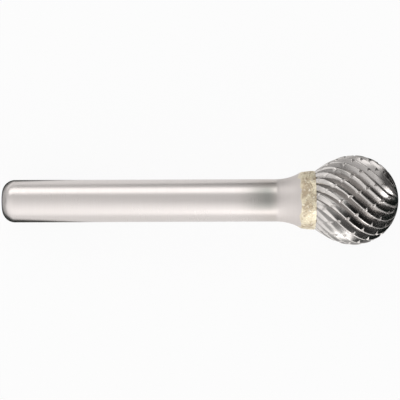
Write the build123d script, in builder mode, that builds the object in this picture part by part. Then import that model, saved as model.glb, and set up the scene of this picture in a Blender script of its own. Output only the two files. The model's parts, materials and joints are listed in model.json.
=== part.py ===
from build123d import *
import os
from math import asin, atan, atan2, ceil, cos, degrees, hypot, pi, radians, sin, tan

# A ball burr for a die grinder: a steel shank, a brazed joint and a carbide ball with double-cut teeth.
# It lies as it rests on a bench, on two teeth of the ball and on the rounded end of the shank.
# Millimetres and degrees. X runs towards the ball, Z is up, and the bench is the plane Z = 0.
# A place on the head is given by its lean, the angle from the nose at which the skin there faces, and by
# its azimuth round the burr, from the side that faces up.

# Lengths along the burr
shank_length = 38.8
flare_length = 3.35
braze_width = 2.05
shoulder_reach = 5.45

# Diameters and rounds
shank_diameter = 6.0
end_round = 1.8
flare_end_diameter = 7.88
neck_diameter = 8.24
braze_bulge = 0.06
ball_diameter = 12.7
shoulder_lean = 20.0

# Right-hand flutes: the V that the wheel grinds between two teeth, with each wall's slope from upright
flute_count = 22
flute_helix = 42.0
rake_slope = 41.0
back_slope = 54.0
land_width = 0.11
long_flute_lean = 12.0
short_flute_lean = 25.0
flute_run_in = 14.0

# Left-hand cross cuts, which break the chips
cross_cut_count = 13
cross_cut_helix = 28.0
cross_cut_slope = 38.0
cross_cut_depth = 0.31
cross_cut_lean = 30.0
cross_cut_run_in = 14.0
cross_cut_azimuth = -0.7

# Share of its depth that a flute or a cross cut has left at the neck
neck_share = 0.35

# What a groove's cutter has above the skin and past the groove's ends, and the turn between its sections
cutter_room = 0.12
cutter_overrun = 4.0
section_turn = 11.0

shank_radius = shank_diameter / 2
flare_end_radius = flare_end_diameter / 2
neck_radius = neck_diameter / 2
ball_radius = ball_diameter / 2
braze_start = shank_length + flare_length
head_start = braze_start + braze_width
ball_centre = head_start + shoulder_reach
nose = ball_centre + ball_radius

# The teeth at the ball's widest circle, where the flutes are deepest
tooth_pitch = 360 / flute_count
flute_width = radians(tooth_pitch) * ball_radius * cos(radians(flute_helix)) - land_width
flute_slopes = tan(radians(rake_slope)) + tan(radians(back_slope))
back_width = flute_width * tan(radians(back_slope)) / flute_slopes

# How the burr lies: its end round and the lands of two neighbouring teeth touch the bench
ball_height = ball_radius * cos(flute_width / ball_diameter)
end_flat_radius = shank_radius - end_round
round_to_ball = ball_centre - end_round
tilt = asin((ball_height - end_round) / hypot(round_to_ball, end_flat_radius)) - atan2(
    end_flat_radius, round_to_ball
)
end_height = end_round + end_flat_radius * cos(tilt) - end_round * sin(tilt)
end_reach = end_round * cos(tilt) - end_flat_radius * sin(tilt) - end_round
end_x = -(end_reach + ball_centre * cos(tilt) + ball_radius) / 2
land_offset = (back_width + land_width / 2) / (ball_radius * cos(radians(flute_helix)))
resting_turn = tan(radians(flute_helix)) * sin(tilt)
flute_azimuth = 180 - tooth_pitch / 2 + degrees(resting_turn - land_offset)

# Z of this frame runs along the burr to its nose, and X points up from it
burr_frame = Plane(
    origin=(end_x, 0, end_height), x_dir=(-sin(tilt), 0, cos(tilt)), z_dir=(cos(tilt), 0, sin(tilt))
)
burr_axis = Axis(burr_frame.origin, burr_frame.z_dir)
# X of this plane is the length along the burr, and Y is the radius
profile_plane = Plane(origin=burr_frame.origin, x_dir=burr_frame.z_dir, z_dir=(0, -1, 0))

# The shoulder behind the ball: an arc that leaves the ball past its widest circle and ends at the neck
ball_lean = 90 + shoulder_lean
shoulder_start = Vector(ball_centre, 0) + ball_radius * Vector(
    cos(radians(ball_lean)), sin(radians(ball_lean))
)
shoulder_end = Vector(head_start, neck_radius)
shoulder_heading = Vector(-cos(radians(shoulder_lean)), -sin(radians(shoulder_lean)))
shoulder_chord = shoulder_end - shoulder_start
shoulder_turn = 2 * asin(shoulder_heading.cross(shoulder_chord).Z / shoulder_chord.length)
shoulder_radius = shoulder_chord.length / 2 / sin(shoulder_turn / 2)
shoulder_centre = shoulder_start - shoulder_radius * Vector(
    cos(radians(ball_lean)), sin(radians(ball_lean))
)
neck_lean = ball_lean + degrees(shoulder_turn)


def skin_point(lean):
    """Length along the burr and radius of the head's skin at a lean."""
    if lean <= ball_lean:
        return Vector(ball_centre, 0) + ball_radius * Vector(cos(radians(lean)), sin(radians(lean)))
    return shoulder_centre + shoulder_radius * Vector(cos(radians(lean)), sin(radians(lean)))


def groove_plane(lean, azimuth, helix):
    """Plane across a groove: its origin on the skin, Y out of the skin, X to growing azimuths.

    The groove turns at an even rate along the burr, and has its helix angle and its azimuth at the
    ball's widest circle.
    """
    along, radius, _ = skin_point(lean)
    twist = tan(radians(helix)) / ball_radius
    turn = radians(azimuth) + twist * (along - ball_centre)
    outward = cos(turn) * burr_frame.x_dir + sin(turn) * burr_frame.y_dir
    sideways = cos(turn) * burr_frame.y_dir - sin(turn) * burr_frame.x_dir
    normal = sin(radians(lean)) * outward + cos(radians(lean)) * burr_frame.z_dir
    to_neck = cos(radians(lean)) * outward - sin(radians(lean)) * burr_frame.z_dir
    heading = to_neck - twist * radius * sin(radians(lean)) * sideways
    return Plane(
        origin=burr_frame.origin + radius * outward + along * burr_frame.z_dir,
        x_dir=normal.cross(heading),
        z_dir=heading,
    )


def groove_leans(first_lean):
    """Leans of a groove's sections, evenly spaced from its start by the nose to past the neck."""
    start = first_lean - cutter_overrun
    end = neck_lean + cutter_overrun
    steps = ceil((end - start) / section_turn)
    return [start + (end - start) * step / steps for step in range(steps + 1)]


def groove_profile(depth, near_slope, far_slope):
    """Corners of a groove's V: its bottom at a depth under the skin, and a top that clears the skin."""
    height = depth + cutter_room
    near_corner = (-height * tan(radians(near_slope)), cutter_room)
    far_corner = (height * tan(radians(far_slope)), cutter_room)
    return [near_corner, (0, -depth), far_corner]


def run_out(lean):
    """Share of a groove's depth at a lean, which falls behind the ball as the groove nears the neck."""
    return neck_share + (1 - neck_share) * min(1, (neck_lean - lean) / (neck_lean - ball_lean))

def flute_depth(lean, first_lean):
    """Depth at which neighbouring flutes leave one land between them.

    It rises out of the skin at the flute's start by the nose, and grows shallow towards the neck.
    """
    radius = skin_point(lean).Y
    helix = atan(tan(radians(flute_helix)) * radius / ball_radius * sin(radians(lean)))
    width = radians(tooth_pitch) * radius * cos(helix) - land_width
    run_in = min(1, (lean - first_lean) / flute_run_in)
    return width / flute_slopes * run_in * run_out(lean)

def cross_cut_depth_at(lean):
    """Depth of a cross cut, which starts and ends as the flutes do."""
    return cross_cut_depth * min(1, (lean - cross_cut_lean) / cross_cut_run_in) * run_out(lean)

os.makedirs("parts", exist_ok=True)

# Steel shank: rounded free end, ground cylinder, and a flare up to the joint
with BuildPart() as shank:
    with BuildSketch(profile_plane):
        with BuildLine():
            Line((0, 0), (0, end_flat_radius))
            CenterArc((end_round, end_flat_radius), end_round, 180, -90)
            Line((end_round, shank_radius), (shank_length, shank_radius))
            TangentArc((shank_length, shank_radius), (braze_start, flare_end_radius), tangent=(1, 0))
            Line((braze_start, flare_end_radius), (braze_start, 0))
            Line((braze_start, 0), (0, 0))
        make_face()
    revolve(axis=burr_axis)
shank.part.label = "shank"
export_step(shank.part, "parts/shank.step")

# Brazing filler between the flare and the head, which stands a little proud at its rim
with BuildPart() as braze_joint:
    with BuildSketch(profile_plane):
        with BuildLine():
            Line((braze_start, 0), (braze_start, flare_end_radius))
            SagittaArc((braze_start, flare_end_radius), (head_start, neck_radius), braze_bulge)
            Line((head_start, neck_radius), (head_start, 0))
            Line((head_start, 0), (braze_start, 0))
        make_face()
    revolve(axis=burr_axis)
braze_joint.part.label = "braze_joint"
export_step(braze_joint.part, "parts/braze_joint.step")

# Carbide head: the round blank first, then the flutes and the cross cuts are ground out of it
with BuildPart() as burr_head:
    with BuildSketch(profile_plane):
        with BuildLine():
            Line((head_start, 0), (head_start, neck_radius))
            TangentArc(shoulder_start, shoulder_end, tangent=shoulder_heading)
            CenterArc((ball_centre, 0), ball_radius, 0, ball_lean)
            Line((nose, 0), (head_start, 0))
        make_face()
    revolve(axis=burr_axis)
    # Every second flute stops short of the nose, where there is room for half of them
    for flute in range(flute_count):
        start_lean = (long_flute_lean, short_flute_lean)[flute % 2]
        for lean in groove_leans(start_lean):
            with BuildSketch(groove_plane(lean, flute_azimuth + flute * tooth_pitch, flute_helix)):
                with BuildLine():
                    Polyline(
                        groove_profile(flute_depth(lean, start_lean), rake_slope, back_slope), close=True
                    )
                make_face()
        loft(mode=Mode.SUBTRACT)
    for cross_cut in range(cross_cut_count):
        cut_azimuth = cross_cut_azimuth + cross_cut * 360 / cross_cut_count
        for lean in groove_leans(cross_cut_lean):
            with BuildSketch(groove_plane(lean, cut_azimuth, -cross_cut_helix)):
                with BuildLine():
                    Polyline(
                        groove_profile(cross_cut_depth_at(lean), cross_cut_slope, cross_cut_slope),
                        close=True,
                    )
                make_face()
        loft(mode=Mode.SUBTRACT)
burr_head.part.label = "burr_head"
export_step(burr_head.part, "parts/burr_head.step")
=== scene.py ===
"""Looks of a ball burr lying on a pale bench: ground steel shank, brazed joint, double-cut carbide ball.

Everything is in metres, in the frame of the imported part. Places on the burr are worked out in its own
coordinates: how far along the burr from the free end of the shank, the radius from its axis, and the
azimuth round it from the side that faces up.
"""

from __future__ import annotations

import json
import logging
import math
from dataclasses import dataclass
from enum import Enum
from typing import Any

import bpy
import numpy as np
from mathutils import Matrix, Vector

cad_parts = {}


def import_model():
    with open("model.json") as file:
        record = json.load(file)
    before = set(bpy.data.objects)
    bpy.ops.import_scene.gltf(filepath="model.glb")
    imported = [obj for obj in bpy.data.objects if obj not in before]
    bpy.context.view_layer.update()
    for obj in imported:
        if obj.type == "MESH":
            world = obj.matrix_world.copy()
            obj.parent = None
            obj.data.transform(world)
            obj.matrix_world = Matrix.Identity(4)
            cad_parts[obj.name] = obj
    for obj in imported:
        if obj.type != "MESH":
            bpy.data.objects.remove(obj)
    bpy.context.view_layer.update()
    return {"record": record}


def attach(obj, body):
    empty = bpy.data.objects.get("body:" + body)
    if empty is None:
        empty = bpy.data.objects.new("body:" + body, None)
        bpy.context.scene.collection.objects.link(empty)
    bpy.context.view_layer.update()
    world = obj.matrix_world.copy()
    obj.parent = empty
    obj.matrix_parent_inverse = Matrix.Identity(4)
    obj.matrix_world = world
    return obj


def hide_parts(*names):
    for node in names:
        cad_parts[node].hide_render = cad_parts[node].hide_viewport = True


LOG = logging.getLogger("burr")
MM = 0.001

Colour = tuple[float, float, float, float]
Triple = tuple[float, float, float]
Span = tuple[float, float]


class Slot(Enum):
    """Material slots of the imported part."""

    STEEL = "shank_steel"
    FILLER = "braze_filler"
    CARBIDE = "carbide"


# ---- Where the burr lies ----


@dataclass(frozen=True)
class BurrAxis:
    """The burr's own coordinates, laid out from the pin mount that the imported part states."""

    start: np.ndarray
    along: np.ndarray
    up: np.ndarray
    side: np.ndarray

    @classmethod
    def from_record(cls, record: dict[str, Any], end_round: float) -> BurrAxis:
        """Reads the axis of the shank from its pin mount.

        Args:
            record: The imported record.
            end_round: Radius of the round at the free end, which the mount's wall leaves out.

        Returns:
            The coordinates, with their start at the free end of the shank.
        """
        mount = next(m for m in record["mounts"] if m["name"] == "shank")
        along = -np.array(mount["axis"], float)
        along /= np.linalg.norm(along)
        half_wall = mount["dims"]["length_mm"] * MM / 2
        start = np.array(mount["pos_m"], float) - along * (half_wall + end_round)
        up = np.array([-along[2], 0.0, along[0]])
        return cls(start, along, up, np.cross(along, up))

    def point(self, along: Any, radius: Any = 0.0, azimuth: Any = 0.0) -> np.ndarray:
        """Points in the part's frame: the start, plus the axis times the length, plus the radius outwards.

        Args:
            along: Distances from the free end.
            radius: Distances from the axis.
            azimuth: Angles from the side that faces up, in radians.

        Returns:
            An array of the inputs' common shape with x, y and z last.
        """
        along, radius, azimuth = np.broadcast_arrays(along, radius, azimuth)
        outward = np.cos(azimuth)[..., None] * self.up + np.sin(azimuth)[..., None] * self.side
        return self.start + along[..., None] * self.along + radius[..., None] * outward

    def matrix(self) -> Matrix:
        """Turns the burr's coordinates (along, up, side) into the part's frame."""
        columns = np.column_stack([self.along, self.up, self.side])
        return Matrix.Translation(Vector(self.start)) @ Matrix(columns.tolist()).to_4x4()


# ---- Shader expressions ----


@dataclass(frozen=True)
class Grain:
    """Fractal noise: its waves to a unit in each direction, its octaves and their roughness."""

    waves: Triple
    octaves: float
    roughness: float = 0.5


class Value:
    """A node's output, on which Python's operators add Math nodes."""

    def __init__(self, shader: Shader, socket: bpy.types.NodeSocket) -> None:
        """Wraps an output socket of one shader's tree."""
        self.shader = shader
        self.socket = socket

    def _math(self, operation: str, *values: Any) -> Value:
        """Adds one Math node on the given values."""
        return self.shader.node("Math", {"operation": operation}, dict(enumerate(values)))

    def __add__(self, other: Any) -> Value:
        """Sum."""
        return self._math("ADD", self, other)

    __radd__ = __add__

    def __sub__(self, other: Any) -> Value:
        """Difference."""
        return self._math("SUBTRACT", self, other)

    def __rsub__(self, other: Any) -> Value:
        """Difference from a number."""
        return self._math("SUBTRACT", other, self)

    def __mul__(self, other: Any) -> Value:
        """Product."""
        return self._math("MULTIPLY", self, other)

    __rmul__ = __mul__

    def __abs__(self) -> Value:
        """Size without its sign."""
        return self._math("ABSOLUTE", self)

    def most(self, other: Any) -> Value:
        """The larger of two values."""
        return self._math("MAXIMUM", self, other)

    def between(self, start: float, end: float) -> Value:
        """Start where the value is 0 and end where it is 1, in a straight line."""
        return start + (end - start) * self

    def swing(self, size: float) -> Value:
        """The size times how far the value is from a half."""
        return size * (self - 0.5)

    def ramp(self, low: float, high: float, start: float = 0.0, end: float = 1.0) -> Value:
        """Rises smoothly from start to end as the value goes from low to high.

        Args:
            low: Value at which the rise starts.
            high: Value at which it ends.
            start: Result below low.
            end: Result above high.

        Returns:
            The smoothed value.
        """
        settings = {"interpolation_type": "SMOOTHSTEP", "clamp": True}
        inputs = {"Value": self, "From Min": low, "From Max": high, "To Min": start, "To Max": end}
        return self.shader.node("MapRange", settings, inputs)


class Shader:
    """A node tree that is built by expressions."""

    def __init__(self, tree: bpy.types.NodeTree) -> None:
        """Empties the tree and keeps it."""
        self.tree = tree
        tree.nodes.clear()

    @classmethod
    def material(cls, name: str) -> tuple[Shader, bpy.types.Material]:
        """Makes a new material with an empty tree.

        Args:
            name: Name of the material.

        Returns:
            The shader and its material.
        """
        made = bpy.data.materials.new(name)
        made.use_nodes = True
        return cls(made.node_tree), made

    def node(self, kind: str, settings: dict[str, Any], inputs: dict[Any, Any], output: Any = 0) -> Value:
        """Adds a node, sets it up and feeds its sockets.

        Args:
            kind: Blender's type name of the node, after ShaderNode.
            settings: Properties of the node, set before its sockets.
            inputs: Values or links by socket name or number.
            output: Name or number of the output to return.

        Returns:
            The chosen output.
        """
        made = self.tree.nodes.new("ShaderNode" + kind)
        for name, value in settings.items():
            setattr(made, name, value)
        for name, value in inputs.items():
            if isinstance(value, Value):
                self.tree.links.new(value.socket, made.inputs[name])
            else:
                made.inputs[name].default_value = value
        return Value(self, made.outputs[output])

    def mix(self, share: Any, first: Any, second: Any) -> Value:
        """Mixes two colours or links, with the share of the second from 0 to 1."""
        return self.node("Mix", {"data_type": "RGBA"}, {0: share, 6: first, 7: second}, 2)

    def stretched(self, vector: Value, scale: Triple) -> Value:
        """Coordinates times a scale of their own in each direction."""
        return self.node("VectorMath", {"operation": "MULTIPLY"}, {0: vector, 1: scale})

    def noise(self, vector: Value, grain: Grain) -> Value:
        """Fractal noise, 0.5 on average, on coordinates times the grain's waves."""
        inputs = {"Vector": self.stretched(vector, grain.waves), "Scale": 1.0, "Detail": grain.octaves}
        return self.node("TexNoise", {}, inputs | {"Roughness": grain.roughness})

    def dot(self, vector: Value, other: Triple) -> Value:
        """The dot product of a vector and a fixed one."""
        settings = {"operation": "DOT_PRODUCT"}
        return self.node("VectorMath", settings, {0: vector, 1: other}, "Value")

    def part(self, vector: Value, letter: str) -> Value:
        """One component of a vector, by its letter."""
        return self.node("SeparateXYZ", {}, {0: vector}, letter)

    def attribute(self, name: str) -> Value:
        """A number that the mesh carries at its points."""
        return self.node("Attribute", {"attribute_name": name}, {}, "Fac")

    def ray(self, kind: str) -> Value:
        """1 for rays of a kind, such as Camera, and 0 for the rest."""
        return self.node("LightPath", {}, {}, f"Is {kind} Ray")

    def surface(self, settings: dict[str, Any]) -> None:
        """Ends the tree in one Principled shader, set up by the names of its sockets."""
        self.finish("Material", self.node("BsdfPrincipled", {}, settings))

    def finish(self, kind: str, surface: Value) -> None:
        """Adds an output node for a material or the world, and shows the surface."""
        made = self.tree.nodes.new("ShaderNodeOutput" + kind)
        self.tree.links.new(surface.socket, made.inputs["Surface"])

    def bump(self, height: Value, distance: float, strength: float = 0.8) -> Value:
        """A normal bent by a height, in parts of the distance in metres."""
        inputs = {"Height": height, "Distance": distance, "Strength": strength}
        return self.node("Bump", {}, inputs)


def burr_coordinates(shader: Shader, axis: BurrAxis) -> Value:
    """Object coordinates turned into the burr's own, in millimetres: along, up, side.

    Args:
        shader: The tree they are read in.
        axis: Where the burr lies.

    Returns:
        The turned coordinates.
    """
    place, turn, _ = axis.matrix().inverted().decompose()
    moved = {
        "Vector": shader.node("TexCoord", {}, {}, "Object"),
        "Location": tuple(place / MM),
        "Rotation": tuple(turn.to_euler()),
        "Scale": (1 / MM,) * 3,
    }
    return shader.node("Mapping", {"vector_type": "POINT"}, moved)


# ---- Finishes ----


@dataclass(frozen=True)
class GroundSteel:
    """Centreless-ground steel, tinted and smeared with filler where the furnace reached it.

    Lengths are in millimetres. A reach says how far before the end of the ground length a change starts
    and ends. The darker grey on the upper side near the joint is painted shade.
    """

    ground_length: float
    joint_start: float
    colour: Colour = (0.73, 0.685, 0.665, 1.0)
    tint: Colour = (0.56, 0.51, 0.47, 1.0)
    # Painted shade: a dark grey laid on the upper side only, a little before the flare.
    top_shade: Colour = (0.30, 0.31, 0.29, 1.0)
    filler: Colour = (0.80, 0.72, 0.56, 1.0)
    rings: Grain = Grain((9.0, 0.25, 0.25), 4.0, 0.6)
    turning: Grain = Grain((5.0, 0.1, 0.1), 2.0)
    wander: Grain = Grain((0.3, 0.6, 0.6), 3.0)
    clouds: Grain = Grain((0.22, 0.22, 0.22), 2.0)
    flare_reach: Span = (0.3, -0.2)
    heat_reach: Span = (7.0, 0.5)
    top_shade_reach: Span = (6.0, 1.5)
    top_shade_end_reach: Span = (1.4, -0.6)
    top_shade_height: Span = (2.2, 2.9)
    tint_share: Span = (0.2, 0.9)
    top_shade_share: Span = (0.5, 1.0)
    ring_share: Span = (-0.025, 0.225)
    flare_tint: float = 0.8
    smear_lap: float = 0.2
    smear_edge: float = 0.12
    smear_wander: float = 2.0
    smear_share: float = 0.85
    smear_dielectric: float = 0.35
    roughness: float = 0.30
    flare_roughness: float = 0.28
    ring_roughness: float = 0.12
    cloud_roughness: float = 0.1
    relief_height: float = 0.004

    def past(self, along: Value, reach: Span) -> Value:
        """Rises from 0 to 1 over a reach before the end of the ground length."""
        return along.ramp(self.ground_length - reach[0], self.ground_length - reach[1])

    def make(self, axis: BurrAxis) -> bpy.types.Material:
        """Builds the material: grinding rings, flare turning marks, tint, filler and painted shade by the
        joint.

        The relief is the rings, half as strong on the flare, plus twice the turning marks there.

        Args:
            axis: Where the burr lies.

        Returns:
            The material.
        """
        shader, made = Shader.material("ground_steel")
        place = burr_coordinates(shader, axis)
        along = shader.part(place, "X")
        up = shader.part(place, "Y")
        rings = shader.noise(place, self.rings)
        turning = shader.noise(place, self.turning)
        wander = shader.noise(place, self.wander)
        cloud = shader.noise(place, self.clouds)
        flare = self.past(along, self.flare_reach)
        heated = self.past(along, self.heat_reach) * (1 - self.flare_tint * flare)
        # Painted shade on the upper side only, fading out before the flare.
        top_shaded = up.ramp(*self.top_shade_height) * self.past(along, self.top_shade_reach)
        top_shaded = top_shaded * (1 - self.past(along, self.top_shade_end_reach))
        smear_start = self.joint_start - self.smear_lap
        smeared = along + wander.swing(self.smear_wander)
        smeared = smeared.ramp(smear_start - self.smear_edge, smear_start + self.smear_edge)
        colour = shader.mix(heated * cloud.between(*self.tint_share), self.colour, self.tint)
        colour = shader.mix(top_shaded * cloud.between(*self.top_shade_share), colour, self.top_shade)
        colour = shader.mix(rings.between(*self.ring_share), colour, self.tint)
        colour = shader.mix(smeared * self.smear_share, colour, self.filler)
        rough = self.roughness + rings.swing(self.ring_roughness) + cloud.swing(self.cloud_roughness)
        relief = rings * (1 - 0.5 * flare) + turning * flare * 2.0
        shader.surface(
            {
                "Base Color": colour,
                "Metallic": 1.0 - self.smear_dielectric * smeared,
                "Roughness": rough + self.flare_roughness * flare,
                "Normal": shader.bump(relief, self.relief_height * MM),
            }
        )
        return made


@dataclass(frozen=True)
class BrazeFiller:
    """Dull brassy filler with grains, flux stains and cream spots."""

    brass: Colour = (0.84, 0.75, 0.56, 1.0)
    stain: Colour = (0.54, 0.44, 0.31, 1.0)
    bright: Colour = (0.92, 0.87, 0.74, 1.0)
    grain: Grain = Grain((3.2, 3.2, 3.2), 4.0, 0.65)
    patches: Grain = Grain((0.9, 0.9, 0.9), 2.0)
    stain_range: Span = (0.42, 0.62)
    bright_range: Span = (0.52, 0.68)
    metallic: float = 0.65
    roughness: float = 0.42
    patch_roughness: float = 0.3
    grain_height: float = 0.05

    def make(self, axis: BurrAxis) -> bpy.types.Material:
        """Builds the material.

        Args:
            axis: Where the burr lies.

        Returns:
            The material.
        """
        shader, made = Shader.material("braze_filler")
        place = burr_coordinates(shader, axis)
        grain = shader.noise(place, self.grain)
        patches = shader.noise(place, self.patches)
        colour = shader.mix(patches.ramp(*self.stain_range), self.brass, self.stain)
        colour = shader.mix(grain.ramp(*self.bright_range), colour, self.bright)
        shader.surface(
            {
                "Base Color": colour,
                "Metallic": self.metallic,
                "Roughness": self.roughness + patches.swing(self.patch_roughness),
                "Normal": shader.bump(grain, self.grain_height * MM),
            }
        )
        return made


@dataclass(frozen=True)
class GroundCarbide:
    """Sintered carbide as the wheel leaves it: fine scratches along each cut, painted highlights on tooth
    edges.
    """

    colour: Colour = (0.56, 0.53, 0.51, 1.0)
    # Painted shade: a darker colour that deepens with the gullet.
    gullet: Colour = (0.49, 0.465, 0.45, 1.0)
    scratch: Colour = (0.26, 0.25, 0.24, 1.0)
    # Painted shade: the near-black laid on the back walls just below the lands.
    relief: Colour = (0.12, 0.125, 0.115, 1.0)
    # Painted highlight: the pale colour of the tooth edges and the walls of the notches.
    edge: Colour = (0.78, 0.74, 0.71, 1.0)
    scratches: Grain = Grain((16.0, 0.9, 1.0), 3.0, 0.6)
    clouds: Grain = Grain((0.7, 0.7, 0.7), 3.0)
    scratch_range: Span = (0.5, 0.75)
    scratch_share: Span = (0.2, 0.7)
    relief_shade_share: Span = (0.3, 0.8)
    highlight_dielectric: float = 0.5
    roughness: float = 0.18
    scratch_roughness: float = 0.15
    cloud_roughness: float = 0.12
    gullet_roughness: float = 0.08
    scratch_height: float = 0.010

    def make(self, axis: BurrAxis) -> bpy.types.Material:
        """Builds the material from the mesh's own record of its edges, reliefs and gullets, the masks of
        its painted highlight and painted shade.

        Args:
            axis: Where the burr lies.

        Returns:
            The material.
        """
        shader, made = Shader.material("ground_carbide")
        place = burr_coordinates(shader, axis)
        flow = shader.node("UVMap", {"uv_map": "flow"}, {})
        scratches = shader.noise(flow, self.scratches)
        cloud = shader.noise(place, self.clouds)
        edge = shader.attribute("edge")
        relief = shader.attribute("relief")
        gullet = shader.attribute("gullet")
        scratched = scratches.ramp(*self.scratch_range) * cloud.between(*self.scratch_share)
        # Painted shade, darker with the depth of the gullet.
        colour = shader.mix(gullet, self.colour, self.gullet)
        colour = shader.mix(scratched, colour, self.scratch)
        # Painted shade on the back walls, broken up by the clouds.
        colour = shader.mix(relief * cloud.between(*self.relief_shade_share), colour, self.relief)
        # Painted highlight on the tooth edges and the notch walls.
        colour = shader.mix(edge, colour, self.edge)
        rough = self.roughness + scratches.swing(self.scratch_roughness)
        rough = rough + cloud.swing(self.cloud_roughness) + self.gullet_roughness * gullet
        shader.surface(
            {
                "Base Color": colour,
                # The edges are less metallic, to go with their painted highlight.
                "Metallic": 1.0 - self.highlight_dielectric * edge,
                "Roughness": rough,
                "Normal": shader.bump(scratches, self.scratch_height * MM),
            }
        )
        return made


# ---- Meshes ----


def linked(name: str, data: bpy.types.ID) -> bpy.types.Object:
    """Adds an object to the scene.

    Args:
        name: Its name.
        data: Its mesh, lamp or camera.

    Returns:
        The object.
    """
    made = bpy.data.objects.new(name, data)
    bpy.context.scene.collection.objects.link(made)
    return made


def closed_shell(
    name: str, rings: np.ndarray, first_pole: np.ndarray, last_pole: np.ndarray, crease: float
) -> bpy.types.Object:
    """A closed surface of rings that are joined in order, with a fan of triangles at each end.

    Vertex k of ring i joins vertex k + 1 of the same ring and vertex k of ring i + 1.

    Args:
        name: Name of the object.
        rings: Points of the rings: ring, vertex, coordinate.
        first_pole: Point that closes the first ring.
        last_pole: Point that closes the last ring.
        crease: Angle in degrees past which an edge is sharp.

    Returns:
        The object, linked to the scene.
    """
    count, around, _ = rings.shape
    points = np.concatenate([rings.reshape(-1, 3), first_pole[None], last_pole[None]])
    index = np.arange(count * around).reshape(count, around)
    following = np.roll(index, -1, axis=1)
    quads = np.stack([index[:-1], following[:-1], following[1:], index[1:]], axis=-1)
    pole = np.full(around, count * around)
    fans = np.hstack([[following[0], index[0], pole], [index[-1], following[-1], pole + 1]]).T
    mesh = bpy.data.meshes.new(name)
    mesh.from_pydata(points.tolist(), [], quads.reshape(-1, 4).tolist() + fans.tolist())
    mesh.update()
    mesh.polygons.foreach_set("use_smooth", np.ones(len(mesh.polygons), bool))
    mesh.set_sharp_from_angle(angle=math.radians(crease))
    return linked(name, mesh)


def arc(centre: Span, radius: float, start: float, end: float, count: int) -> np.ndarray:
    """Points on an arc: the centre plus the radius times cosine and sine of an even run of angles.

    Args:
        centre: Length along and distance from the axis.
        radius: Radius of the arc.
        start: First angle in degrees, from the direction of the nose.
        end: Last angle in degrees.
        count: Number of points.

    Returns:
        Rows of length along and distance from the axis.
    """
    angle = np.radians(np.linspace(start, end, count))
    return np.column_stack([centre[0] + radius * np.cos(angle), centre[1] + radius * np.sin(angle)])


def run_of(start: Span, end: Span, step: float) -> np.ndarray:
    """Points on a straight run, evenly spaced by a step or less, without its end."""
    count = max(2, math.ceil(math.dist(start, end) / step) + 1)
    return np.linspace(start, end, count)[:-1]


# ---- The burr's pieces ----


def tangent(angle: float) -> float:
    """Tangent of an angle in degrees."""
    return math.tan(math.radians(angle))


@dataclass(frozen=True)
class BurrSizes:
    """Sizes that the pieces share, in metres and degrees."""

    shank_length: float = 38.8 * MM
    flare_length: float = 3.35 * MM
    braze_width: float = 2.05 * MM
    shoulder_reach: float = 5.45 * MM
    shank_radius: float = 3.0 * MM
    end_round: float = 1.8 * MM
    flare_end_radius: float = 3.94 * MM
    neck_radius: float = 4.12 * MM
    braze_bulge: float = 0.06 * MM
    ball_radius: float = 6.35 * MM
    shoulder_lean: float = 20.0

    @property
    def braze_start(self) -> float:
        """Where the flare ends and the filler begins."""
        return self.shank_length + self.flare_length

    @property
    def head_start(self) -> float:
        """Where the filler ends and the carbide begins."""
        return self.braze_start + self.braze_width

    @property
    def ball_centre(self) -> float:
        """Middle of the ball."""
        return self.head_start + self.shoulder_reach


@dataclass
class Piece:
    """A piece of the burr that stands for one solid."""

    axis: BurrAxis
    sizes: BurrSizes
    node: str = ""
    slot: Slot = Slot.STEEL
    crease: float = 40.0

    def hand_over(self, made: bpy.types.Object, finish: bpy.types.Material) -> bpy.types.Object:
        """Dresses the object, and has it ride in its solid's place.

        Args:
            made: The object.
            finish: Its material.

        Returns:
            The same object.
        """
        made.data.materials.append(finish)
        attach(made, "root")
        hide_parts(self.node)
        LOG.info("%s: %d faces", made.name, len(made.data.polygons))
        return made


@dataclass
class Shank(Piece):
    """Steel shank: rounded free end, ground cylinder and the flare up to the joint."""

    node: str = "shank"
    slot: Slot = Slot.STEEL
    around: int = 224
    step: float = 0.45 * MM
    end_step: float = 0.25 * MM
    pole_gap: float = 0.2 * MM
    end_points: int = 28
    flare_points: int = 32

    def profile(self) -> np.ndarray:
        """The shank's outline: its flat end, the round, the ground length and the flare's arc.

        The flare's radius is its length squared plus its rise squared, over twice the rise.

        Returns:
            Rows of length along the burr and radius.
        """
        s = self.sizes
        flat = s.shank_radius - s.end_round
        rise = s.flare_end_radius - s.shank_radius
        flare_radius = (s.flare_length**2 + rise**2) / (2 * rise)
        flare_centre = (s.shank_length, s.shank_radius + flare_radius)
        flare_end = -90 + math.degrees(math.asin(s.flare_length / flare_radius))
        return np.concatenate(
            [
                run_of((0.0, self.pole_gap), (0.0, flat), self.end_step),
                arc((s.end_round, flat), s.end_round, 180, 90, self.end_points),
                run_of((s.end_round, s.shank_radius), (s.shank_length, s.shank_radius), self.step)[1:],
                arc(flare_centre, flare_radius, -90, flare_end, self.flare_points),
            ]
        )

    def build(self) -> bpy.types.Object:
        """Turns the profile round the axis and closes it at both ends.

        Returns:
            The finished object.
        """
        profile = self.profile()
        azimuth = np.arange(self.around) * (2 * math.pi / self.around)
        rings = self.axis.point(profile[:, :1], profile[:, 1:], azimuth)
        poles = self.axis.point(0.0), self.axis.point(self.sizes.braze_start)
        made = closed_shell("ground_shank", rings[:, ::-1], *poles, self.crease)
        finish = GroundSteel(self.sizes.shank_length / MM, self.sizes.braze_start / MM)
        return self.hand_over(made, finish.make(self.axis))


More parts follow.
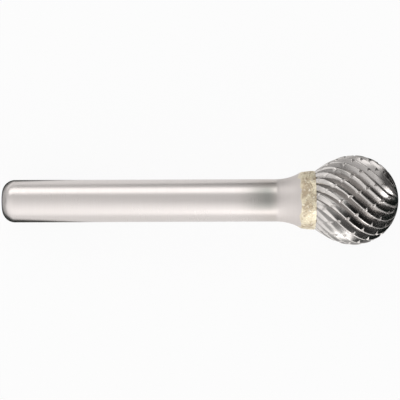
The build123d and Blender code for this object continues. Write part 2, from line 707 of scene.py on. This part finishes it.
@dataclass
class BrazeJoint(Piece):
    """The band of filler, with a grainy, slightly uneven rim."""

    node: str = "braze_joint"
    slot: Slot = Slot.FILLER
    around: int = 360
    across: int = 40
    grain: float = 0.025 * MM
    waves: int = 60
    turns_range: tuple[int, int] = (8, 90)
    most_rows: float = 14.0
    edge_share: float = 0.125
    seed: int = 7

    def build(self) -> bpy.types.Object:
        """Turns the rim round the axis, roughened by a sum of waves of random directions and phases.

        The rim is the straight line between its ends plus a parabola that rises to the bulge halfway. The
        roughness fades to nothing at both faces.

        Returns:
            The finished object.
        """
        s = self.sizes
        rise = s.neck_radius - s.flare_end_radius
        share = np.linspace(0, 1, self.across)[:, None]
        azimuth = np.arange(self.around) * (2 * math.pi / self.around)
        bulge = s.braze_bulge * 4 * share * (1 - share)
        draws = np.random.default_rng(self.seed)
        turns = draws.integers(*self.turns_range, self.waves)
        rows = draws.uniform(-self.most_rows, self.most_rows, self.waves)
        phases = draws.uniform(0, 2 * math.pi, self.waves)
        rough = sum(
            np.cos(turn * azimuth + row * share * math.pi + phase)
            for turn, row, phase in zip(turns, rows, phases)
        ) / math.sqrt(self.waves)
        edge = np.minimum(1, np.minimum(share, 1 - share) / self.edge_share)
        radius = s.flare_end_radius + rise * share + bulge + self.grain * rough * edge
        rings = self.axis.point(s.braze_start + s.braze_width * share, radius, azimuth)
        poles = self.axis.point(s.braze_start), self.axis.point(s.head_start)
        made = closed_shell("braze_band", rings[:, ::-1], *poles, self.crease)
        return self.hand_over(made, BrazeFiller().make(self.axis))


@dataclass(frozen=True)
class Flutes:
    """Right-hand flutes: a V with two slopes, turned at an even rate along the burr.

    The slopes are against the skin's normal. Long and short flutes take turns, and each sort starts at a
    lean of its own.
    """

    count: int = 22
    helix: float = 42.0
    rake_slope: float = 41.0
    back_slope: float = 54.0
    land: float = 0.11 * MM
    long_lean: float = 12.0
    short_lean: float = 25.0
    run_in: float = 14.0


@dataclass(frozen=True)
class CrossCuts:
    """Left-hand cross cuts: an even V, shallower than the flutes."""

    count: int = 13
    helix: float = 28.0
    slope: float = 38.0
    depth: float = 0.31 * MM
    lean: float = 30.0
    run_in: float = 14.0
    azimuth: float = -0.7


@dataclass(frozen=True)
class TeethGrid:
    """The head's grid as whole arrays, with a row for each lean and a column for each place round it.

    Lengths are in metres and leans in degrees. The depths are those of the walls of the flutes and of the
    cross cut at each place, below zero where a cut doesn't reach.
    """

    lean: np.ndarray
    along: np.ndarray
    radius: np.ndarray
    azimuth: np.ndarray
    across: np.ndarray
    flow_across: np.ndarray
    full_depth: np.ndarray
    from_back: np.ndarray
    from_rake: np.ndarray
    from_cross: np.ndarray
    sunk: np.ndarray


@dataclass
class BurrHead(Piece):
    """Carbide ball: a grid whose columns follow the flutes, sunk by the flutes and the cross cuts."""

    node: str = "burr_head"
    slot: Slot = Slot.CARBIDE
    flutes: Flutes = Flutes()
    cuts: CrossCuts = CrossCuts()
    rows: int = 215
    back_columns: int = 8
    land_columns: int = 3
    rake_columns: int = 6
    neck_share: float = 0.35
    rounding: float = 0.012 * MM
    nose_lean: float = 1.2
    least_wall: float = 0.15
    cut_reach: float = 0.3 * MM
    # Reaches and share of the mask of painted highlight on the crests and the notch walls.
    crest_reach: float = 0.02 * MM
    notch_reach: float = 0.08 * MM
    # Reach, rise and end of the mask of painted shade on the back walls.
    relief_shade_reach: float = 0.22 * MM
    relief_shade_rise: float = 5.0
    relief_shade_end: float = 1.9
    # Depth over which the gullets take their painted shade and their extra roughness.
    gullet_reach: float = 0.45 * MM
    notch_highlight: float = 0.8
    crease: float = 30.0

    def shoulder(self) -> tuple[float, float, float, float]:
        """The arc behind the ball.

        It leaves the ball at the shoulder's lean and ends at the neck: half its turn is the angle between
        the ball's tangent and the chord, and its radius is half the chord over the sine of that angle.

        Returns:
            Centre along, centre's radius, the arc's radius, and the lean at the neck in degrees.
        """
        s = self.sizes
        lean = math.radians(90 + s.shoulder_lean)
        start = np.array([s.ball_centre + s.ball_radius * math.cos(lean), s.ball_radius * math.sin(lean)])
        chord = np.array([s.head_start, s.neck_radius]) - start
        length = math.hypot(*chord)
        half_turn = math.remainder(math.atan2(chord[1], chord[0]) - lean - math.pi / 2, 2 * math.pi)
        radius = length / 2 / math.sin(half_turn)
        centre = start - radius * np.array([math.cos(lean), math.sin(lean)])
        return centre[0], centre[1], radius, math.degrees(lean + 2 * half_turn)

    def skin(self, lean: np.ndarray) -> tuple[np.ndarray, np.ndarray]:
        """The blank's outline: the ball's circle, then the shoulder's arc.

        Args:
            lean: Angles from the nose at which the skin faces, in degrees.

        Returns:
            Lengths along the burr and radii.
        """
        s = self.sizes
        centre, height, radius, _ = self.shoulder()
        on_ball = lean <= 90 + s.shoulder_lean
        angle = np.radians(lean)
        size = np.where(on_ball, s.ball_radius, radius)
        along = np.where(on_ball, s.ball_centre, centre) + size * np.cos(angle)
        return along, np.where(on_ball, 0.0, height) + size * np.sin(angle)

    def flute_azimuth(self) -> float:
        """Turns the flutes so that two lands straddle the ball's lowest point.

        That point lies behind the ball's widest circle, because the burr is tilted, and the flutes turn a
        little on the way there.

        Returns:
            Azimuth of the first flute at the widest circle, in radians.
        """
        f, s = self.flutes, self.sizes
        cosine = math.cos(math.radians(f.helix))
        width = 2 * math.pi / f.count * s.ball_radius * cosine - f.land
        slopes = tangent(f.rake_slope) + tangent(f.back_slope)
        back = width * tangent(f.back_slope) / slopes
        offset = (back + f.land / 2) / (s.ball_radius * cosine)
        turn = tangent(f.helix) * self.axis.along[2]
        return math.pi - math.pi / f.count + turn - offset

    def run_out(self, lean: np.ndarray) -> np.ndarray:
        """Share of a groove's depth at a lean, which falls evenly from the ball's end to the neck."""
        leans = (90 + self.sizes.shoulder_lean, self.shoulder()[3])
        return np.interp(lean, leans, (1.0, self.neck_share))

    def flute_depth(self, lean: np.ndarray, first: np.ndarray) -> tuple[np.ndarray, np.ndarray]:
        """Depth that leaves one land between neighbours, times the run in at the nose and out at the neck.

        Args:
            lean: Leans in degrees.
            first: Lean at which the flute starts.

        Returns:
            Depths, and the helix angles there in radians.
        """
        f, s = self.flutes, self.sizes
        _, radius = self.skin(lean)
        turn = tangent(f.helix) * radius / s.ball_radius * np.sin(np.radians(lean))
        helix = np.arctan(turn)
        width = 2 * math.pi / f.count * radius * np.cos(helix) - f.land
        slopes = tangent(f.rake_slope) + tangent(f.back_slope)
        run_in = np.clip((lean - first) / f.run_in, -1, 1)
        return width / slopes * run_in * self.run_out(lean), helix

    def cross_cut_depth(self, lean: np.ndarray, along: np.ndarray, azimuth: np.ndarray) -> np.ndarray:
        """Depth of the nearest cross cut: its full depth less the distance from it over its tangent.

        Args:
            lean: Leans in degrees.
            along: Lengths along the burr.
            azimuth: Azimuths in radians.

        Returns:
            Depths, below zero outside the cuts.
        """
        c, s = self.cuts, self.sizes
        _, radius = self.skin(lean)
        twist = -tangent(c.helix) / s.ball_radius
        step = 2 * math.pi / c.count
        gap = azimuth - math.radians(c.azimuth) - twist * (along - s.ball_centre)
        gap = np.abs(np.remainder(gap + step / 2, step) - step / 2)
        helix = np.arctan(twist * radius * np.sin(np.radians(lean)))
        depth = c.depth * np.clip((lean - c.lean) / c.run_in, -1, 1) * self.run_out(lean)
        return depth - gap * radius * np.cos(helix) / tangent(c.slope)

    def grid(self) -> TeethGrid:
        """Lays the grid on the skin and works out how far each place sinks.

        The columns run from the bottom of one flute up its back wall, over the land and down the next
        flute's rake. They crowd towards each land, with the square of an even share, so that its edges are
        crisp. A wall's depth at a distance from its flute's bottom is the flute's full depth less that
        distance over the wall's tangent.

        Returns:
            The grid.
        """
        f, s = self.flutes, self.sizes
        lean = np.linspace(self.nose_lean, self.shoulder()[3], self.rows)[:, None]
        along, radius = self.skin(lean)
        columns = self.back_columns + self.land_columns + self.rake_columns
        flute = np.repeat(np.arange(f.count), columns)
        first = np.where(flute % 2 == 0, f.long_lean, f.short_lean)
        following_first = np.where(flute % 2 == 0, f.short_lean, f.long_lean)
        depth, helix = self.flute_depth(lean, first)
        following_depth, _ = self.flute_depth(lean, following_first)
        pitch = 2 * math.pi / f.count * radius * np.cos(helix)
        tan_rake = tangent(f.rake_slope)
        tan_back = tangent(f.back_slope)
        least = self.least_wall * pitch
        back_width = np.maximum(depth * tan_back, least)
        rake_width = np.maximum(following_depth * tan_rake, least)
        column = np.tile(np.arange(columns), f.count)
        after_land = column - self.back_columns - self.land_columns
        on_back = 1 - (1 - np.clip(column / self.back_columns, 0, 1)) ** 2
        on_land = np.clip((column - self.back_columns) / self.land_columns, 0, 1)
        on_rake = np.clip(after_land / self.rake_columns, 0, 1) ** 2
        across = on_back * back_width + on_land * (pitch - back_width - rake_width) + on_rake * rake_width
        twist = tangent(f.helix) / s.ball_radius
        flute_turn = self.flute_azimuth() + flute * (2 * math.pi / f.count)
        azimuth = flute_turn + twist * (along - s.ball_centre) + across / (radius * np.cos(helix))
        from_back = depth - across / tan_back
        from_rake = following_depth - (pitch - across) / tan_rake
        from_cross = self.cross_cut_depth(lean, along, azimuth)
        deepest = self.softened(np.maximum(from_back, from_rake), from_cross)
        return TeethGrid(
            lean=lean,
            along=along,
            radius=radius,
            azimuth=azimuth,
            across=across,
            flow_across=across + flute * pitch,
            full_depth=depth,
            from_back=from_back,
            from_rake=from_rake,
            from_cross=from_cross,
            sunk=self.softened(deepest, 0.0),
        )

    def build(self) -> bpy.types.Object:
        """Sinks the grid along the skin's own direction, closes it and marks its cuts.

        Returns:
            The finished object.
        """
        s, grid = self.sizes, self.grid()
        angle = np.radians(grid.lean)
        rings = self.axis.point(
            grid.along - grid.sunk * np.cos(angle),
            grid.radius - grid.sunk * np.sin(angle),
            grid.azimuth,
        )
        poles = self.axis.point(s.head_start), self.axis.point(s.ball_centre + s.ball_radius)
        made = closed_shell("double_cut_ball", rings[::-1, ::-1], *poles, self.crease)
        self.mark_cuts(made, grid)
        skin_length = np.broadcast_to(s.ball_radius * angle, grid.across.shape)
        self.lay_flow(made, grid.flow_across[::-1, ::-1] / MM, skin_length[::-1, ::-1] / MM)
        return self.hand_over(made, GroundCarbide().make(self.axis))

    def mark_cuts(self, made: bpy.types.Object, grid: TeethGrid) -> None:
        """Marks tooth edges, reliefs and gullets on the mesh, each from 0 to 1.

        An edge falls off with the depth, and a cross cut's wall counts as one; it takes painted highlight.
        A relief starts just below the land on a back wall and fades towards the gullet; it takes painted
        shade. A gullet grows with the depth; it takes painted shade and more roughness. The two poles are
        0.

        Args:
            made: The head.
            grid: The grid that it was made from.
        """
        groove = np.maximum(grid.from_back, grid.from_rake)
        cut = np.clip(grid.full_depth / self.cut_reach, 0, 1)
        crest = np.exp(-np.maximum(grid.sunk, 0) / self.crest_reach) * cut
        in_notch = np.clip((grid.from_cross - groove) / self.notch_reach, 0, 1) * (grid.from_cross > 0)
        # Relief: the mask of painted shade on the back walls, left off in the notches.
        share = np.maximum(grid.from_back, 0) / self.relief_shade_reach
        relief = cut * np.clip(np.minimum(self.relief_shade_rise * share, self.relief_shade_end - share), 0, 1)
        relief = relief * (grid.from_back > grid.from_rake) * (1 - in_notch)
        # Gullet: the mask of painted shade and extra roughness, growing with the depth.
        gullet = np.clip(grid.sunk / self.gullet_reach, 0, 1)
        # Edge: the mask of painted highlight on the crests and the notch walls.
        edge = np.maximum(crest, self.notch_highlight * in_notch)
        for name, values in {"edge": edge, "relief": relief, "gullet": gullet}.items():
            attribute = made.data.attributes.new(name, "FLOAT", "POINT")
            flat = np.concatenate([values[::-1, ::-1].ravel(), [0.0, 0.0]]).astype(np.float32)
            attribute.data.foreach_set("value", flat)

    def softened(self, first: np.ndarray, second: np.ndarray | float) -> np.ndarray:
        """The larger of two depths, rounded where they meet.

        It is half their sum plus half the root of their difference squared plus the rounding squared.

        Args:
            first: Depths.
            second: Depths of the other cut.

        Returns:
            The rounded depths.
        """
        gap = first - second
        return (first + second + np.sqrt(gap * gap + self.rounding**2)) / 2

    @staticmethod
    def lay_flow(made: bpy.types.Object, across: np.ndarray, along: np.ndarray) -> None:
        """Lays a UV map in millimetres, across the flutes and along them.

        Args:
            made: The head.
            across: Distances across the flutes, for each ring and column.
            along: Distances along them.
        """
        flat = np.column_stack([across.ravel(), along.ravel()])
        flat = np.concatenate([flat, np.zeros((2, 2))]).astype(np.float32)
        corners = np.empty(len(made.data.loops), np.int32)
        made.data.loops.foreach_get("vertex_index", corners)
        layer = made.data.uv_layers.new(name="flow")
        layer.uv.foreach_set("vector", flat[corners].ravel())


# ---- Studio ----


@dataclass(frozen=True)
class Studio:
    """Pale bench, a soft light on each side, a small lamp in front, and a camera that looks down.

    Directions are given by their azimuth from the camera's side and their lean towards the nose, in
    degrees, or by their components along the part's axes. Levels are against the room's white.
    """

    axis: BurrAxis
    sizes: BurrSizes
    frame_pixels: float = 400.0
    pixels_per_metre: float = 7065.0
    middle_x: float = 200.3
    middle_y: float = 200.6
    distance: float = 0.26
    lean_to_front: float = 7.8
    roll: float = 0.2
    sensor: float = 36.0
    clip: Span = (0.01, 10.0)
    floor_size: float = 3.0
    paper: Colour = (0.82, 0.82, 0.82, 1.0)
    white: Colour = (1.0, 1.0, 1.0, 1.0)
    camera_white: float = 0.93
    glossy_white: float = 0.8
    lamp_distance: float = 0.45
    lamp_length: float = 0.62
    lamp_shift: float = -0.11
    lamp_width: float = 0.26
    lamp_azimuth: float = 59.0
    back_lamp_level: float = 1.12
    front_lamp_level: float = 0.04
    glint_azimuth: float = 66.0
    glint_lean: float = 24.0
    glint_size: float = 0.26
    glint_level: float = 2.3
    front_level: float = 1.22
    back_level: float = 0.56
    side_reach: float = 0.9
    nose_dark_slant: float = 0.25
    nose_dark_reach: Span = (0.28, 0.62)
    nose_dark_level: float = 0.05
    end_dark_reach: Span = (0.93, 0.995)
    end_dark_level: float = 0.3
    shade_azimuth: float = 3.0
    shade_lean: float = 38.0
    shade_inner: float = 27.0
    shade_outer: float = 38.0
    shade_level: float = 0.15
    card_colour: Colour = (0.015, 0.024, 0.021, 1.0)
    card_height: float = 0.2 * MM
    card_reach: float = 0.4
    nose_card_turn: float = 26.0
    nose_card_start: float = 20 * MM
    nose_card_fade: float = 8 * MM
    # Painted shadow: the card about the shank's free end stands for the shade on the bench beside it.
    tail_shadow_start: float = 5.5 * MM
    tail_shadow_fade: float = 4 * MM
    tail_shadow_taper: float = 2.2
    tail_shadow_end: float = 31 * MM
    tail_shadow_end_fade: float = 3 * MM
    tail_shadow_far_share: float = 0.45

    def build(self) -> None:
        """Makes the floor, the lamps, the cards, the world and the camera."""
        self.floor()
        self.lamp("softbox_back", -self.lamp_azimuth, self.back_lamp_level)
        self.lamp("softbox_front", self.lamp_azimuth, self.front_lamp_level)
        self.glint()
        self.cards()
        self.world()
        self.camera()

    def middle(self) -> np.ndarray:
        """Middle of the burr's length, on its axis."""
        return self.axis.point((self.sizes.ball_centre + self.sizes.ball_radius) / 2)

    def towards(self, azimuth: float) -> np.ndarray:
        """Direction from the burr at an azimuth from the camera's side, in degrees."""
        angle = math.radians(azimuth + self.lean_to_front)
        return math.cos(angle) * self.axis.up + math.sin(angle) * self.axis.side

    def leaning(self, azimuth: float, lean: float) -> np.ndarray:
        """Direction from the burr at an azimuth, leant towards the nose, both in degrees."""
        angle = math.radians(lean)
        return math.cos(angle) * self.towards(azimuth) + math.sin(angle) * self.axis.along

    @staticmethod
    def sheet(name: str, half: float, height: float, finish: bpy.types.Material) -> None:
        """Adds a level square about the origin to the studio.

        Args:
            name: Name of the object.
            half: Half its side.
            height: Its height.
            finish: Its material.
        """
        corners = [(x * half, y * half, height) for x, y in ((-1, -1), (1, -1), (1, 1), (-1, 1))]
        mesh = bpy.data.meshes.new(name)
        mesh.from_pydata(corners, [], [(0, 1, 2, 3)])
        mesh.materials.append(finish)
        linked(name, mesh)

    def floor(self) -> None:
        """A wide plane, mostly plain white to the camera and in reflections, and the rest is paper."""
        shader, made = Shader.material("bench_white")
        reflected = shader.ray("Glossy").most(shader.ray("Transmission"))
        seen = (shader.ray("Camera") * self.camera_white).most(reflected * self.glossy_white)
        paper = shader.node("BsdfDiffuse", {}, {"Color": self.paper})
        white = shader.node("Emission", {}, {"Color": self.white})
        mixed = shader.node("MixShader", {}, {0: seen, 1: paper, 2: white})
        shader.finish("Material", mixed)
        self.sheet("bench", self.floor_size / 2, 0.0, made)

    def cards(self) -> None:
        """Black cards on the bench, past the nose and about the shank's free end, for reflections only.

        Each fades in with a distance: past the nose along a slanted line, and by the free end along the
        burr, less the taper times the distance from its axis. Beyond the free end the second is thinner.
        The
        second is painted shadow: the shade on the bench by the shank's free end, as the steel reflects it.
        """
        shader, made = Shader.material("black_card")
        place = shader.node("TexCoord", {}, {}, "Object")
        along = shader.part(place, "X")
        across = shader.part(place, "Y")
        turn = math.radians(self.nose_card_turn)
        slanted = along * math.cos(turn) + across * math.sin(turn)
        nose = slanted.ramp(self.nose_card_start, self.nose_card_start + self.nose_card_fade)
        # Painted shadow about the shank's free end, seen only in reflections.
        backward = along * -1.0
        tapered = backward - abs(across) * self.tail_shadow_taper
        tail_shadow = tapered.ramp(self.tail_shadow_start, self.tail_shadow_start + self.tail_shadow_fade)
        far = self.tail_shadow_end + self.tail_shadow_end_fade
        tail_shadow = tail_shadow * backward.ramp(self.tail_shadow_end, far, 1.0, self.tail_shadow_far_share)
        clear = shader.node("BsdfTransparent", {}, {})
        black = shader.node("BsdfDiffuse", {}, {"Color": self.card_colour})
        seen = shader.ray("Glossy") * nose.most(tail_shadow)
        mixed = shader.node("MixShader", {}, {0: seen, 1: clear, 2: black})
        shader.finish("Material", mixed)
        self.sheet("black_cards", self.card_reach, self.card_height, made)

    def lamp(self, name: str, azimuth: float, level: float) -> None:
        """A long softbox beside the burr.

        Args:
            name: Name of the lamp.
            azimuth: Its direction from the camera's side, in degrees.
            level: How bright it looks, where the room's white is 1.
        """
        data = bpy.data.lights.new(name, "AREA")
        data.shape = "RECTANGLE"
        data.size = self.lamp_length
        data.size_y = self.lamp_width
        data.energy = level * data.size * data.size_y * math.pi
        outward = Vector(self.towards(azimuth))
        along = Vector(self.axis.along)
        middle = Vector(self.middle()) + along * self.lamp_shift
        place = Matrix.Translation(middle + outward * self.lamp_distance)
        turn = Matrix((along, outward.cross(along), outward)).transposed().to_4x4()
        linked(name, data).matrix_world = place @ turn

    def glint(self) -> None:
        """A small lamp low in front, towards the nose, for the sparkle of the teeth."""
        data = bpy.data.lights.new("glint", "AREA")
        data.shape = "DISK"
        data.size = self.glint_size
        data.energy = self.glint_level * (data.size / 2) ** 2 * math.pi**2
        outward = self.leaning(self.glint_azimuth, self.glint_lean)
        place = Vector(self.middle() + outward * self.lamp_distance)
        turn = Vector(outward).to_track_quat("Z", "Y").to_matrix().to_4x4()
        linked("glint", data).matrix_world = Matrix.Translation(place) @ turn

    def world(self) -> None:
        """White to the camera; for the burr a pale room, brighter in front and darker beyond the nose.

        The room's level is the product of four parts: front to back, beyond the nose, beyond the free end
        and the shade overhead, which is full up to its inner angle and gone past its outer one.
        """
        world = bpy.data.worlds.new("studio")
        world.use_nodes = True
        shader = Shader(world.node_tree)
        direction = shader.node("TexCoord", {}, {}, "Generated")
        lengthwise = shader.part(direction, "X")
        sideways = shader.part(direction, "Y")
        front = sideways.ramp(-self.side_reach, self.side_reach, self.front_level, self.back_level)
        slanted = lengthwise + sideways * self.nose_dark_slant
        beyond_nose = slanted.ramp(*self.nose_dark_reach, 1.0, self.nose_dark_level)
        beyond_end = (lengthwise * -1.0).ramp(*self.end_dark_reach, 1.0, self.end_dark_level)
        near = shader.dot(direction, tuple(self.leaning(self.shade_azimuth, self.shade_lean)))
        inner = math.cos(math.radians(self.shade_inner))
        outer = math.cos(math.radians(self.shade_outer))
        shaded = near.ramp(outer, inner, 1.0, self.shade_level)
        level = front * beyond_nose * beyond_end * shaded
        seen = shader.ray("Camera")
        room = shader.node("Background", {}, {"Color": self.white, "Strength": level})
        white = shader.node("Background", {}, {"Color": self.white})
        mixed = shader.node("MixShader", {}, {0: seen, 1: room, 2: white})
        shader.finish("World", mixed)
        bpy.context.scene.world = world

    def camera(self) -> None:
        """Looks down on the burr, with the frame's width along its axis."""
        data = bpy.data.cameras.new("camera")
        data.sensor_width = self.sensor
        view_width = self.frame_pixels / self.pixels_per_metre
        data.lens = self.sensor * self.distance / view_width
        data.clip_start, data.clip_end = self.clip
        backward = Vector(self.towards(0.0))
        level = Vector(self.axis.along)
        turn = Matrix.Rotation(math.radians(-self.roll), 4, backward)
        right = turn @ level
        up = turn @ backward.cross(level)
        half = self.frame_pixels / 2
        shift_x = (half - self.middle_x) / self.pixels_per_metre
        shift_y = (self.middle_y - half) / self.pixels_per_metre
        aim = Vector(self.middle()) + right * shift_x + up * shift_y
        place = Matrix.Translation(aim + backward * self.distance)
        made = linked("camera", data)
        made.matrix_world = place @ Matrix((right, up, backward)).transposed().to_4x4()
        bpy.context.scene.camera = made


def main() -> None:
    """Builds the pieces, then the studio."""
    logging.basicConfig(level=logging.INFO, format="%(name)s %(message)s")
    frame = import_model()
    sizes = BurrSizes()
    axis = BurrAxis.from_record(frame["record"], sizes.end_round)
    for piece in (Shank(axis, sizes), BrazeJoint(axis, sizes), BurrHead(axis, sizes)):
        made = piece.build()
        LOG.info("%s stands for %s", made.name, piece.node)
    Studio(axis, sizes).build()
    bpy.context.scene.view_settings.view_transform = "Standard"


if __name__ == "__main__":
    main()
